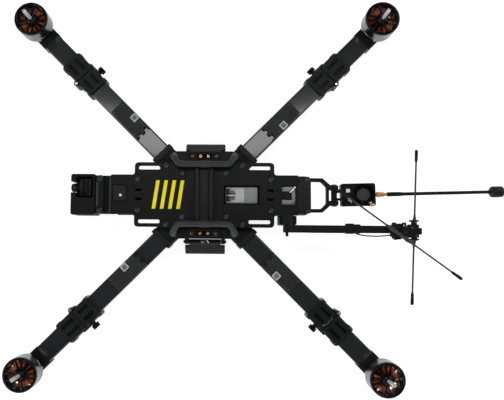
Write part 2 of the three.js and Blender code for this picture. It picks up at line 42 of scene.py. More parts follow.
AXES = {
    "Z": Matrix.Identity(4),
    "X": Matrix(((0, 0, 1, 0), (1, 0, 0, 0), (0, 1, 0, 0), (0, 0, 0, 1))),
    "Y": Matrix(((0, 1, 0, 0), (0, 0, 1, 0), (1, 0, 0, 0), (0, 0, 0, 1))),
}

# Airframe dimensions in millimetres.
DECK_TOP = 51.3
DECK_HALF_LENGTH, NECK_HALF_WIDTH = 132, 28
WIDE_HALF_LENGTH, WIDE_HALF_WIDTH = 98, 45.5
BULGE_HALF_LENGTH, BULGE_HALF_WIDTH = 44, 61.5
DECK_ROUNDING = 6.0
STRAP_SLOT = (77.2, 37.8)
OVAL_SLOT = (92.5, 6.3)
SOCKET_Y = 54
BAR_Y, BAR_Z, BAR_FOOT_X = 41.2, 66.4, 42.3
LEG_HINGE_Y, LEG_HINGE_Z = 65.5, -6
CAMERA_AXIS = (-170, 31)
LENS_Y = 10.5
TUBE_LOW, TUBE_HIGH, TUBE_WIDTH = 6.0, 28.0, 28.0
SPLIT_X, PIN_OFFSET, KNOB_X = 250.3, 17.6, 242.3
JOINT_START, JOINT_END, JOINT_LOW, JOINT_HIGH = 221.8, 281.5, 3.2, 30.8
SPLIT_GAP, KNUCKLE_GAP = 0.2, 0.35
MOTOR_X = 351.5
MOTOR_SLOTS, MOTOR_MAGNETS, BELL_SPOKES, FAN_BLADES = 12, 14, 6, 9
CRADLE_AT = Matrix.Translation((183, 0.9, 40)) @ Matrix.Rotation(math.radians(1.7), 4, "Z")
BOOM_AXIS = (113, 71)

# Mesh detail: angles in degrees.
SMOOTH_BELOW, BREAK_ABOVE, EDGE_SEGMENTS, SCREW_SIDES = 35, 40, 2, 18

# Floor and view, in metres, millimetres of lens and radians.
FLOOR_REACH, FLOOR_Z, FLOOR_GLOW = 40, -0.0301, 0.85
VIEW_LENS, VIEW_SHIFT = 39.603, (0.0875, 0.00364)
VIEW_AT = (0.0230986, -0.0653955, 0.8238643)
VIEW_TURN = (0.07185184, 0.02243211, 0.00855105)


# ---------------------------------------------------------------- materials
MOTTLE_SCALE, GRAIN_DEPTH = 45, 0.0003


def node_material(name):
    made = bpy.data.materials.new(name)
    made.use_nodes = True
    nodes = made.node_tree.nodes
    return made, nodes, made.node_tree.links, nodes["Principled BSDF"]


def math_node(nodes, links, operation, a, b=None):
    made = nodes.new("ShaderNodeMath")
    made.operation = operation
    for socket, value in zip(made.inputs, (a, b)):
        if isinstance(value, (int, float)):
            socket.default_value = value
        elif value is not None:
            links.new(value, socket)
    return made.outputs[0]


def surface(name, colour, rough, metallic=0.0, vary=0.25, grain=900, bump=0.15, coat=0.0,
            weave=0.0, turn=0.0, brushed=None, spread=0.12, specular=0.15):
    """Procedural surface: mottled colour and roughness, fine grain, optional twill weave or brushing."""
    made, nodes, links, shader = node_material(name)

    def calc(operation, a, b=None):
        return math_node(nodes, links, operation, a, b)

    place = nodes.new("ShaderNodeTexCoord")
    mapping = nodes.new("ShaderNodeMapping")
    mapping.inputs["Rotation"].default_value = (0, 0, math.radians(turn))
    links.new(place.outputs["Object"], mapping.inputs["Vector"])
    stretched = nodes.new("ShaderNodeMapping")
    stretched.inputs["Scale"].default_value = brushed or (1, 1, 1)
    links.new(mapping.outputs["Vector"], stretched.inputs["Vector"])

    broad = nodes.new("ShaderNodeTexNoise")
    broad.inputs["Scale"].default_value = MOTTLE_SCALE
    broad.inputs["Detail"].default_value = 4
    links.new(mapping.outputs["Vector"], broad.inputs["Vector"])
    fine = nodes.new("ShaderNodeTexNoise")
    fine.inputs["Scale"].default_value = grain
    fine.inputs["Detail"].default_value = 3
    links.new(stretched.outputs["Vector"], fine.inputs["Vector"])

    pattern = calc("MULTIPLY", broad.outputs["Fac"], 0.6)
    pattern = calc("ADD", pattern, calc("MULTIPLY", fine.outputs["Fac"], 0.4))
    height = fine.outputs["Fac"]
    if weave:
        split = nodes.new("ShaderNodeSeparateXYZ")
        links.new(mapping.outputs["Vector"], split.inputs[0])
        cells = [calc("MULTIPLY", split.outputs[i], weave) for i in (0, 1)]
        summed = calc("ADD", *[calc("FLOOR", c) for c in cells])
        twill = calc("LESS_THAN", calc("FLOORED_MODULO", summed, 4), 1.5)
        crown = calc("MULTIPLY", *[calc("SINE", calc("MULTIPLY", c, math.pi)) for c in cells])
        crown = calc("ABSOLUTE", crown)
        pattern = calc("ADD", calc("MULTIPLY", pattern, 0.5), calc("MULTIPLY", twill, 0.5))
        height = calc("ADD", calc("MULTIPLY", twill, 0.5), calc("MULTIPLY", crown, 0.5))
    ramp = nodes.new("ShaderNodeValToRGB")
    ramp.color_ramp.elements[0].position = 0.3
    ramp.color_ramp.elements[1].position = 0.72
    ramp.color_ramp.elements[0].color = (*[c * (1 - vary) for c in colour], 1)
    ramp.color_ramp.elements[1].color = (*[min(1, c * (1 + vary)) for c in colour], 1)
    links.new(pattern, ramp.inputs["Fac"])
    links.new(ramp.outputs["Color"], shader.inputs["Base Color"])
    tone = nodes.new("ShaderNodeMapRange")
    tone.inputs["To Min"].default_value = max(0.03, rough - spread)
    tone.inputs["To Max"].default_value = min(1, rough + spread)
    links.new(pattern, tone.inputs["Value"])
    links.new(tone.outputs["Result"], shader.inputs["Roughness"])
    dents = nodes.new("ShaderNodeBump")
    dents.inputs["Strength"].default_value = bump
    dents.inputs["Distance"].default_value = GRAIN_DEPTH
    links.new(height, dents.inputs["Height"])
    links.new(dents.outputs["Normal"], shader.inputs["Normal"])
    shader.inputs["Metallic"].default_value = metallic
    shader.inputs["Specular IOR Level"].default_value = specular
    if coat:
        shader.inputs["Coat Weight"].default_value = coat
        shader.inputs["Coat Roughness"].default_value = 0.12
    return made


CARBON = surface("carbon_plate", (0.00405, 0.004275, 0.004275), 0.42, weave=900, turn=45, vary=0.3, bump=0.05)
TUBE_GLOSS = {
    t: surface(
        f"tube_gloss_{t}", (0.014, 0.015, 0.016), 0.3, weave=900, turn=-t, vary=0.16, bump=0.008,
        spread=0.04, coat=1.0,
    )
    for t in (45, 135)
}
MOULDED = surface("moulded_nylon", (0.0055, 0.00575, 0.006), 0.55, vary=0.3, grain=2500, bump=0.3)
MOULDED_GREY = surface("moulded_nylon_grey", (0.042, 0.044, 0.044), 0.5, vary=0.25, grain=2500, bump=0.25)
SATIN = surface("satin_plastic", (0.012, 0.0125, 0.0125), 0.38, vary=0.3, grain=1800, bump=0.12)
PRINTED = surface(
    "printed_flex", (0.0054, 0.005625, 0.005625), 0.6, vary=0.3, grain=900, bump=0.5, brushed=(1, 1, 9),
)
ANODISED = surface(
    "black_anodised", (0.007, 0.00725, 0.0075), 0.38, metallic=0.6, vary=0.3, grain=2600, bump=0.1,
)
SCREW = surface(
    "screw_head", (0.04, 0.042, 0.042), 0.4, metallic=0.5, vary=0.25, grain=1800, bump=0.1, specular=0.4,
)
JOINT_COVER = surface(
    "joint_cover", (0.013, 0.014, 0.0138), 0.42, metallic=0.3, vary=0.35, grain=1800, bump=0.15,
)
CONTROLLER = surface(
    "controller_cover", (0.026, 0.0275, 0.0265), 0.5, metallic=0.2, vary=0.3, grain=2600, bump=0.2,
)
GUNMETAL = surface("gunmetal", (0.13, 0.135, 0.14), 0.24, metallic=1.0, vary=0.18, grain=700, bump=0.06,
                   brushed=(1, 1, 14))
BELL_BLACK = surface(
    "bell_black", (0.0072, 0.0072, 0.0075), 0.33, metallic=0.5, vary=0.3, grain=1500, bump=0.06,
)
STEEL = surface("polished_steel", (0.62, 0.62, 0.63), 0.2, metallic=1.0, vary=0.12, grain=1600, bump=0.05,
                brushed=(1, 1, 8))
DARK_STEEL = surface("dark_steel", (0.07, 0.072, 0.075), 0.36, metallic=0.9, vary=0.25, grain=1600, bump=0.08)
SHAFT = surface("ground_steel", (0.78, 0.78, 0.76), 0.3, metallic=0.35, vary=0.1, grain=1600, bump=0.05,
                brushed=(1, 1, 8))
COPPER = surface("enamelled_copper", (0.62, 0.17, 0.07), 0.3, metallic=0.6, vary=0.4, grain=2600, bump=0.6,
                 brushed=(1, 1, 4))
CORE = surface("laminated_core", (0.03, 0.024, 0.02), 0.5, metallic=0.4, vary=0.3, grain=1200, bump=0.4,
               brushed=(1, 1, 20))
GOLD = surface("plated_gold", (0.60, 0.38, 0.17), 0.36, metallic=1.0, vary=0.15, grain=1600, bump=0.06)
ROSE = surface("coax_plug", (0.72, 0.42, 0.30), 0.3, metallic=0.9, vary=0.2, grain=1600, bump=0.1)
RUBBER = surface("matte_rubber", (0.0072, 0.0075, 0.0078), 0.7, vary=0.3, grain=2200, bump=0.3)
WHIP = surface("whip_sheath", (0.045, 0.047, 0.048), 0.5, vary=0.25, grain=2200, bump=0.2)
FAN = surface("fan_plastic", (0.042, 0.0456, 0.0468), 0.45, vary=0.2, grain=2200, bump=0.15)
CASE_GREY = surface(
    "light_grey_case", (0.248, 0.2542, 0.2542), 0.42, metallic=0.2, vary=0.1, grain=1600, bump=0.15,
)
BRACKET_GREY = surface(
    "grey_bracket", (0.23, 0.235, 0.235), 0.36, metallic=0.5, vary=0.15, grain=1300, bump=0.12,
)
LABEL = surface("plain_label", (0.465, 0.48, 0.48), 0.55, vary=0.08, grain=1800, bump=0.05)
LABEL_GREY = surface("label_patch", (0.13, 0.135, 0.135), 0.55, vary=0.6, grain=1500, bump=0.05)
YELLOW = surface("yellow_paint", (0.95, 0.80, 0.02), 0.45, vary=0.1, grain=1800, bump=0.08)
WHITE = surface("white_plastic", (0.8, 0.8, 0.79), 0.4, vary=0.06, grain=1500, bump=0.05)
LENS = surface(
    "lens_glass", (0.006, 0.008, 0.014), 0.06, vary=0.2, grain=300, bump=0.0, coat=1.0, spread=0.02,
)
WIRES = {
    c: surface(f"wire_{c}", v, 0.45, vary=0.15, grain=1800, bump=0.1)
    for c, v in {
        "brown": (0.16, 0.06, 0.03), "black": (0.012, 0.012, 0.012), "white": (0.7, 0.7, 0.68),
    }.items()
}


# ---------------------------------------------------------------- mesh building
class Piece:
    """Collects closed forms, drawn in millimetres, into one object that rides on a body."""

    def __init__(self, name, material, at=None):
        self.name = name
        self.material = material
        self.at = at or Matrix.Identity(4)
        self.bm = bmesh.new()

    def _take(self, other, place):
        if place is not None:
            bmesh.ops.transform(other, matrix=place, verts=other.verts)
        mesh = bpy.data.meshes.new("part")
        other.to_mesh(mesh)
        other.free()
        self.bm.from_mesh(mesh)
        bpy.data.meshes.remove(mesh)
        return self

    def rings(self, rings, closed=False, place=None):
        """Skins a list of rings of points; the ends are capped unless the rings join up."""
        bm = bmesh.new()
        made = [[bm.verts.new(p) for p in ring] for ring in rings]
        count = len(made[0])
        pairs = list(zip(made, made[1:])) + ([(made[-1], made[0])] if closed else [])
        for a, b in pairs:
            for i in range(count):
                j = (i + 1) % count
                bm.faces.new((a[i], a[j], b[j], b[i]))
        if not closed:
            bm.faces.new(list(reversed(made[0])))
            bm.faces.new(made[-1])
        bmesh.ops.recalc_face_normals(bm, faces=bm.faces)
        return self._take(bm, place)

    def turned(self, profile, place=None, sides=32, closed=False):
        """A turned form about Z from (radius, height) pairs."""
        profile = [(max(r, 0.01), z) for r, z in profile]
        rings = [[(r * math.cos(2 * math.pi * i / sides), r * math.sin(2 * math.pi * i / sides), z)
                  for i in range(sides)] for r, z in profile]
        return self.rings(rings, closed, place)

    def slab(self, loops, low, high, bevel=0.4, axis="Z", place=None):
        """An extruded outline with holes and rounded edges; loops are lists of (u, v)."""
        curve = bpy.data.curves.new("slab", "CURVE")
        curve.dimensions = "2D"
        curve.fill_mode = "BOTH"
        for loop in loops:
            spline = curve.splines.new("POLY")
            spline.points.add(len(loop) - 1)
            for point, (u, v) in zip(spline.points, loop):
                point.co = (u, v, 0, 1)
            spline.use_cyclic_u = True
        curve.extrude = (high - low) / 2 - bevel
        curve.bevel_depth = bevel
        curve.bevel_resolution = 1
        curve.offset = -bevel
        holder = bpy.data.objects.new("slab", curve)
        bpy.context.scene.collection.objects.link(holder)
        graph = bpy.context.evaluated_depsgraph_get()
        mesh = bpy.data.meshes.new_from_object(holder.evaluated_get(graph))
        bm = bmesh.new()
        bm.from_mesh(mesh)
        bmesh.ops.remove_doubles(bm, verts=bm.verts, dist=0.002)
        bmesh.ops.recalc_face_normals(bm, faces=bm.faces)
        bmesh.ops.translate(bm, vec=(0, 0, (low + high) / 2), verts=bm.verts)
        bmesh.ops.transform(bm, matrix=AXES[axis], verts=bm.verts)
        bpy.data.objects.remove(holder)
        bpy.data.curves.remove(curve)
        bpy.data.meshes.remove(mesh)
        return self._take(bm, place)

    def block(self, x0, x1, y0, y1, z0, z1, bevel=0.4, place=None):
        """A box with rounded edges."""
        y0, y1 = sorted((y0, y1))
        bm = bmesh.new()
        bmesh.ops.create_cube(bm, size=1)
        size = Matrix.Diagonal((x1 - x0, y1 - y0, z1 - z0, 1))
        centre = Matrix.Translation(((x0 + x1) / 2, (y0 + y1) / 2, (z0 + z1) / 2))
        bmesh.ops.transform(bm, matrix=centre @ size, verts=bm.verts)
        if bevel:
            bmesh.ops.bevel(
                bm, geom=bm.edges[:], offset=bevel, segments=EDGE_SEGMENTS, affect="EDGES", profile=0.5,
            )
        return self._take(bm, place)

    def pipe(self, points, radius, sides, place=None):
        """A round bar along smoothly joined points."""
        points = [Vector(p) for p in points]
        frames = []
        normal = None
        for i, p in enumerate(points):
            ahead = points[min(i + 1, len(points) - 1)] - points[max(i - 1, 0)]
            ahead.normalize()
            if normal is None:
                normal = ahead.orthogonal().normalized()
            normal = (normal - ahead * normal.dot(ahead)).normalized()
            frames.append((p, normal.copy(), ahead.cross(normal)))
        turns = [2 * math.pi * k / sides for k in range(sides)]
        rings = [
            [p + u * (radius * math.cos(t)) + v * (radius * math.sin(t)) for t in turns]
            for p, u, v in frames
        ]
        return self.rings(rings, False, place)

    def screw(self, x, y, z, radius=4, place=None, height=2.2):
        """A button head with a round socket recess, facing up."""
        head = [(radius, 0), (radius, height * 0.35), (radius * 0.86, height * 0.75), (radius * 0.62, height),
                (radius * 0.5, height), (radius * 0.47, height * 0.3), (0, height * 0.25)]
        at = Matrix.Translation((x, y, z))
        return self.turned([(0, 0)] + head, (place or Matrix.Identity(4)) @ at, SCREW_SIDES)

    def done(self, body, slot, *replaced):
        """Turns the forms into an object on its body, in place of the nodes named; the slot argument is not
        used.
        """
        bmesh.ops.transform(self.bm, matrix=Matrix.Scale(MM, 4) @ self.at, verts=self.bm.verts)
        mesh = bpy.data.meshes.new(self.name)
        self.bm.to_mesh(mesh)
        self.bm.free()
        mesh.materials.append(self.material)
        mesh.shade_smooth()
        made = bpy.data.objects.new(self.name, mesh)
        bpy.context.scene.collection.objects.link(made)
        mesh.set_sharp_from_angle(angle=math.radians(SMOOTH_BELOW))
        level = made.modifiers.new("normals", "WEIGHTED_NORMAL")
        level.keep_sharp = True
        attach(made, body)
        if replaced:
            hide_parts(*replaced)
        return made


def rounded(corners, steps=5):
    """A loop from (x, y, rounding) corners."""
    loop = []
    for i, (x, y, r) in enumerate(corners):
        here = Vector((x, y))
        if not r:
            loop.append((x, y))
            continue
        before = Vector(corners[i - 1][:2])
        after = Vector(corners[(i + 1) % len(corners)][:2])
        a = here + (before - here).normalized() * r
        b = here + (after - here).normalized() * r
        for k in range(steps + 1):
            t = k / steps
            p = a * (1 - t) ** 2 + here * 2 * t * (1 - t) + b * t ** 2
            loop.append((p.x, p.y))
    return loop


def rect(x0, x1, y0, y1, r=0.0, steps=5):
    return rounded([(x0, y0, r), (x1, y0, r), (x1, y1, r), (x0, y1, r)], steps)


def circle(x, y, r, sides=20):
    return [
        (x + r * math.cos(2 * math.pi * i / sides), y + r * math.sin(2 * math.pi * i / sides))
        for i in range(sides)
    ]


def arc_points(start, corner, end, steps=6):
    """Points of a smooth corner between two points."""
    a, c, b = Vector(start), Vector(corner), Vector(end)
    return [
        a * (1 - t) ** 2 + c * 2 * t * (1 - t) + b * t ** 2
        for t in [k / steps for k in range(steps + 1)]
    ]


def along(start, end):
    """A place whose Z runs from start towards end."""
    direction = Vector(end) - Vector(start)
    return Matrix.Translation(start) @ direction.to_track_quat("Z", "Y").to_matrix().to_4x4()


def keep(node, material, bevel=0.5):
    """A node that stays as it is, with a procedural material and broken edges."""
    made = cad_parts[node]
    made.data.materials.clear()
    made.data.materials.append(material)
    if bevel:
        edge = made.modifiers.new("edges", "BEVEL")
        edge.width = bevel * MM
        edge.segments = EDGE_SEGMENTS
        edge.limit_method = "ANGLE"
        edge.angle_limit = math.radians(BREAK_ABOVE)


# ---------------------------------------------------------------- airframe
def deck_outline():
    """The deck's outline: a long neck, a wide middle and two side bulges."""
    length, neck = DECK_HALF_LENGTH, NECK_HALF_WIDTH
    wide, width = WIDE_HALF_LENGTH, WIDE_HALF_WIDTH
    bulge, side, r = BULGE_HALF_LENGTH, BULGE_HALF_WIDTH, DECK_ROUNDING
    quarter = [(length, neck, 3), (wide, neck, 4), (wide, width, r), (bulge, width, 3), (bulge, side, r)]
    back = quarter[::-1]
    return rounded(quarter + [(-x, y, c) for x, y, c in back] + [(-x, -y, c) for x, y, c in quarter]
                   + [(x, -y, c) for x, y, c in back])


def build_deck():
    holes = []
    for sx in (-1, 1):
        for sy in (-1, 1):
            x, y = sx * STRAP_SLOT[0], sy * STRAP_SLOT[1]
            holes.append(rect(x - 15, x + 15, y - 2.5, y + 2.5, 2.4))
            x, y = sx * OVAL_SLOT[0], sy * OVAL_SLOT[1]
            holes.append(rect(x - 4.5, x + 4.5, y - 1.6, y + 1.6, 1.5))
    for sy in (-1, 1):
        holes.append(rect(-11.8, 11.8, sy * SOCKET_Y - 4.2, sy * SOCKET_Y + 4.2))
    holes.append(rect(27.5, 77.3, -13.1, 13.1, 3))
    holes.append(rect(108.7, 128.6, -13.4, 13.4, 2))
    holes.append(rect(-129, -109.4, -9.6, 13.8, 2.5))
    deck = Piece("deck_plate", CARBON)
    deck.slab([deck_outline()] + holes, DECK_TOP - 2, DECK_TOP, 0.35)
    deck.done("airframe", "carbon_plate", "top_plate")

    # Screws along the deck, with a dark washer ring under each.
    spots = [(93.3, 21.8), (53.3, 41.2), (30.4, 30.6)]
    screws = Piece("deck_screws", SCREW)
    washers = Piece("deck_washers", RUBBER)
    for sx in (-1, 1):
        for sy in (-1, 1):
            for x, y in spots:
                screws.screw(sx * x, sy * y, DECK_TOP + 0.4, 4.1)
                washers.turned([(0, 0), (4.9, 0), (4.9, 0.5), (0, 0.5)],
                               Matrix.Translation((sx * x, sy * y, DECK_TOP - 0.05)), 24)
    screws.done("airframe", "carbon_plate")
    washers.done("airframe", "carbon_plate")

    # Plain yellow bars painted on the deck.
    paint = Piece("deck_paint", YELLOW)
    for i in range(4):
        x = -73.5 + i * 11.5
        paint.slab(
            [[(x, -20), (x + 5, -20), (x + 11, 20), (x + 6, 20)]], DECK_TOP - 0.05, DECK_TOP + 0.12, 0.03,
        )
    paint.done("airframe", "carbon_plate")

    # Hatch on the nose end of the deck, with a small status light.
    hatch = Piece("nose_hatch", SATIN)
    hatch.slab(
        [rect(-128.4, -110, -9, 13.2, 2.2), circle(-117.8, -0.9, 2.2)], DECK_TOP - 2.6, DECK_TOP - 0.5,
        0.35,
    )
    hatch.done("airframe", "moulded_black")
    light = Piece("nose_light", WHITE)
    light.turned(
        [(0, -1), (2.0, -1), (2.0, 0.2), (1.4, 0.7), (0, 0.9)],
        Matrix.Translation((-117.8, -0.9, DECK_TOP - 1)), 20,
    )
    light.done("airframe", "module_grey")


def build_core():
    keep("belly_plate", CARBON, 0.3)
    keep("body_frame", MOULDED, 0.5)
    cover = Piece("bus_bar_cover", SATIN)
    profile = rounded(
        [
            (DECK_TOP, -13.4, 0), (56.4, -13.4, 1.2), (58, -11.6, 0.9), (58, -7.6, 0.9),
            (55.2, -5.8, 0.8), (55.2, 5.8, 0.8), (58, 7.6, 0.9), (58, 11.6, 0.9), (56.4, 13.4, 1.2),
            (DECK_TOP, 13.4, 0),
        ],
        3,
    )
    cover.slab([profile], -36.2, 36.2, 0.5, "Y")
    for x in (-3.4, 3.4):
        cover.block(x - 0.5, x + 0.5, -34, 34, 55, 55.9, 0.2)
    cover.done("airframe", "moulded_black", "bus_cover")

    # Flight controller under the deck window, with its label, header and leads.
    case = Piece("controller_case", CASE_GREY)
    case.slab([rect(30, 75, -11.6, 11.6, 2)], 33.5, 46.5, 0.8)
    case.done("airframe", "module_grey", "flight_controller")
    label = Piece("controller_label", LABEL)
    label.slab([rect(37, 56, -9.8, 9.8, 0.8)], 46.4, 46.65, 0.08)
    label.done("airframe", "module_grey")
    patch = Piece("controller_patch", CASE_GREY)
    patch.slab([rect(59, 61, -9.5, 9.5, 0.3)], 46.4, 46.9, 0.1)
    patch.slab([rect(66.5, 73.5, -9.5, 9.5, 0.8)], 46.4, 46.7, 0.1)
    patch.done("airframe", "module_grey")
    header = Piece("controller_header", SATIN)
    for side in (-1, 1):
        header.block(28.6, 34.6, side * 5 - 3.6, side * 5 + 3.6, 44, 49, 0.3)
    header.done("airframe", "socket_black")
    for i, colour in enumerate(("brown", "black", "white", "black", "brown")):
        y = -7 + i * 3.2
        lead = Piece(f"controller_lead_{i}", WIRES[colour])
        lead.pipe(arc_points((34, y, 47.8), (38, y, 50.4), (43, y * 0.7, 47.2), 8), 0.65, 10)
        lead.done("airframe", "socket_black")

    # Grey bracket in the tail cut-out around a dark connector.
    bracket = Piece("tail_bracket", BRACKET_GREY)
    bracket.slab([rounded([(107.6, 12.6, 0), (107.6, 5.6, 0), (123, 5.6, 1), (123, -6, 1), (107.6, -6, 0),
                           (107.6, -12.6, 0), (128, -12.6, 1.6), (128, 12.6, 1.6)])], 42, 45.5, 0.4)
    for x, y in ((125.4, 9.4), (125.4, -9.8)):
        bracket.screw(x, y, 45.4, 1.6, height=1)
    bracket.done("airframe", "module_grey")
    strap = Piece("tail_strap", STEEL)
    strap.block(
        -6.5, 6.5, -1, 1, 47.1, 47.7, 0.2,
        Matrix.Translation((124.5, 8.5, 0)) @ Matrix.Rotation(0.85, 4, "Z"),
    )
    strap.done("airframe", "module_grey")
    inside = Piece("tail_connector", SATIN)
    inside.block(108.2, 122.4, -5.4, 5, 36, 43.5, 0.5)
    for i in range(5):
        inside.block(109.5 + i * 2.6, 110.7 + i * 2.6, -4.4, 4, 43.2, 44.2, 0.15)
    inside.done("airframe", "socket_black")


def build_sides():
    for suffix, side in (("left", -1), ("right", 1)):
        y = side * SOCKET_Y
        socket = Piece(f"socket_{suffix}", MOULDED)
        opening = rect(-9.6, 9.6, y - 3, y + 3, 1.2)
        socket.slab([rect(-22, 22, y - 7, y + 7, 3.2), opening], DECK_TOP, DECK_TOP + 2.6, 0.5)
        socket.slab([rect(-11.4, 11.4, y - 3.8, y + 3.8, 1), opening], 42, DECK_TOP + 0.4, 0.2)
        socket.block(-11.3, 11.3, y - 3.7, y + 3.7, 37, 43, 0.3)
        socket.done("airframe", "socket_black", f"power_socket_{suffix}")
        contact = Piece(f"socket_contacts_{suffix}", GOLD)
        bolts = Piece(f"socket_bolts_{suffix}", DARK_STEEL)
        for x in (-5.4, 5.4):
            contact.turned([(2.3, 42), (2.3, 53.4), (2.0, 53.8), (1.3, 53.8), (1.2, 50), (0, 50)],
                           Matrix.Translation((x, y, 0)), 20)
        for x in (-16.8, 16.8):
            bolts.screw(x, y, DECK_TOP + 2.4, 3.2, height=1.8)
        contact.done("airframe", "gold")
        bolts.done("airframe", "socket_black")

        bend = (36, side * 42.6, BAR_Z)
        half = arc_points((BAR_FOOT_X, y, 56), (41.8, side * 50, BAR_Z), bend, 9)
        half += arc_points(bend, (33.5, side * BAR_Y, BAR_Z), (28, side * BAR_Y, BAR_Z), 5)[1:]
        path = [(BAR_FOOT_X, y, DECK_TOP + 0.2)] + [tuple(p) for p in half]
        path += [(-p[0], p[1], p[2]) for p in reversed(path)]
        bar = Piece(f"bar_{suffix}", MOULDED_GREY)
        bar.pipe(path, 4.2, 24)
        for x in (-BAR_FOOT_X, BAR_FOOT_X):
            bar.turned(
                [(0, 0), (5.6, 0), (5.6, 1.2), (4.6, 2.6), (0, 2.6)],
                Matrix.Translation((x, y, DECK_TOP)), 28,
            )
        bar.slab([circle(BAR_Z, side * BAR_Y, 4.75, 28)], -6, 9, 0.6, "X",
                 Matrix(((1, 0, 0, 0), (0, 0, 1, 0), (0, 1, 0, 0), (0, 0, 0, 1))))
        bar.done("airframe", "handle_grey", f"handle_{suffix}")

        keep(f"leg_bracket_{suffix}", MOULDED, 0.4)
        keep(f"leg_{suffix}", SATIN, 0.5)
        pins = Piece(f"leg_pins_{suffix}", DARK_STEEL)
        hinge_y = side * LEG_HINGE_Y
        for x in (-31.9, 30.3):
            pins.turned([(0, 0), (2.3, 0), (2.3, 1.2), (1.8, 1.6), (0, 1.6)],
                        along((x, hinge_y, LEG_HINGE_Z), (x + 1, hinge_y, LEG_HINGE_Z)), 18)
        pins.done(f"leg_{suffix}", "leg_black")
        coil = []
        for i in range(6):
            coil += [
                (-5.5 + i * 2.2, side * (63.6 + 3.4 * (i % 2)), -1.6),
                (-4.4 + i * 2.2, side * (65.2 + 0.6 * (i % 2)), -1.5),
            ]
        spring = Piece(f"leg_spring_{suffix}", STEEL)
        spring.pipe(coil, 0.5, 8)
        spring.done("airframe", "module_grey")


def build_nose():
    keep("nose_bracket", MOULDED, 0.5)
    keep("camera_housing", MOULDED, 0.6)
    keep("camera", SATIN, 0.4)
    screws = Piece("nose_screws", SCREW)
    for y in (-22, 22):
        screws.screw(-146.6, y, 52, 4)
    screws.done("airframe", "moulded_black")
    strip = Piece("nose_strip", MOULDED_GREY)
    strip.block(-133.4, -131.6, -26, 26, 47, 51.5, 0.4)
    strip.block(-151.8, -148.8, -17, 17, 51.6, 52.5, 0.4)
    strip.done("airframe", "handle_grey")
    seams = Piece("housing_ribs", MOULDED)
    seams.slab(
        [rect(-184.5, -158.5, -25.5, -8.5, 1.6), rect(-183.6, -159.4, -24.6, -9.4, 1.2)], 47.6, 48.4,
        0.15,
    )
    seams.done("airframe", "moulded_black")
    glass = Piece("camera_lens", LENS)
    glass.turned(
        [(0, 0), (3.4, 0), (3.3, 0.6), (2.2, 1.3), (1.1, 1.6), (0, 1.7)],
        along((-189.6, LENS_Y, CAMERA_AXIS[1]), (-192, LENS_Y, CAMERA_AXIS[1])), 28,
    )
    glass.done("camera", "camera_black")
    ring = Piece("camera_ring", DARK_STEEL)
    ring.turned(
        [(6.25, 0), (6.5, 0.3), (6.5, 1.6), (6.25, 1.9), (5.9, 1.9), (5.9, 0)],
        along((-186, LENS_Y, CAMERA_AXIS[1]), (-190, LENS_Y, CAMERA_AXIS[1])), 28, closed=True,
    )
    ring.done("camera", "camera_black")
    drum = Piece("camera_drum", ANODISED)
    drum.slab([circle(CAMERA_AXIS[1], CAMERA_AXIS[0], 9.6, 40)], -2.4, 23.2, 0.8, "Y")
    drum.slab([circle(CAMERA_AXIS[1], CAMERA_AXIS[0], 6, 30)], -3.6, 24.2, 0.5, "Y")
    drum.done("camera", "camera_black")


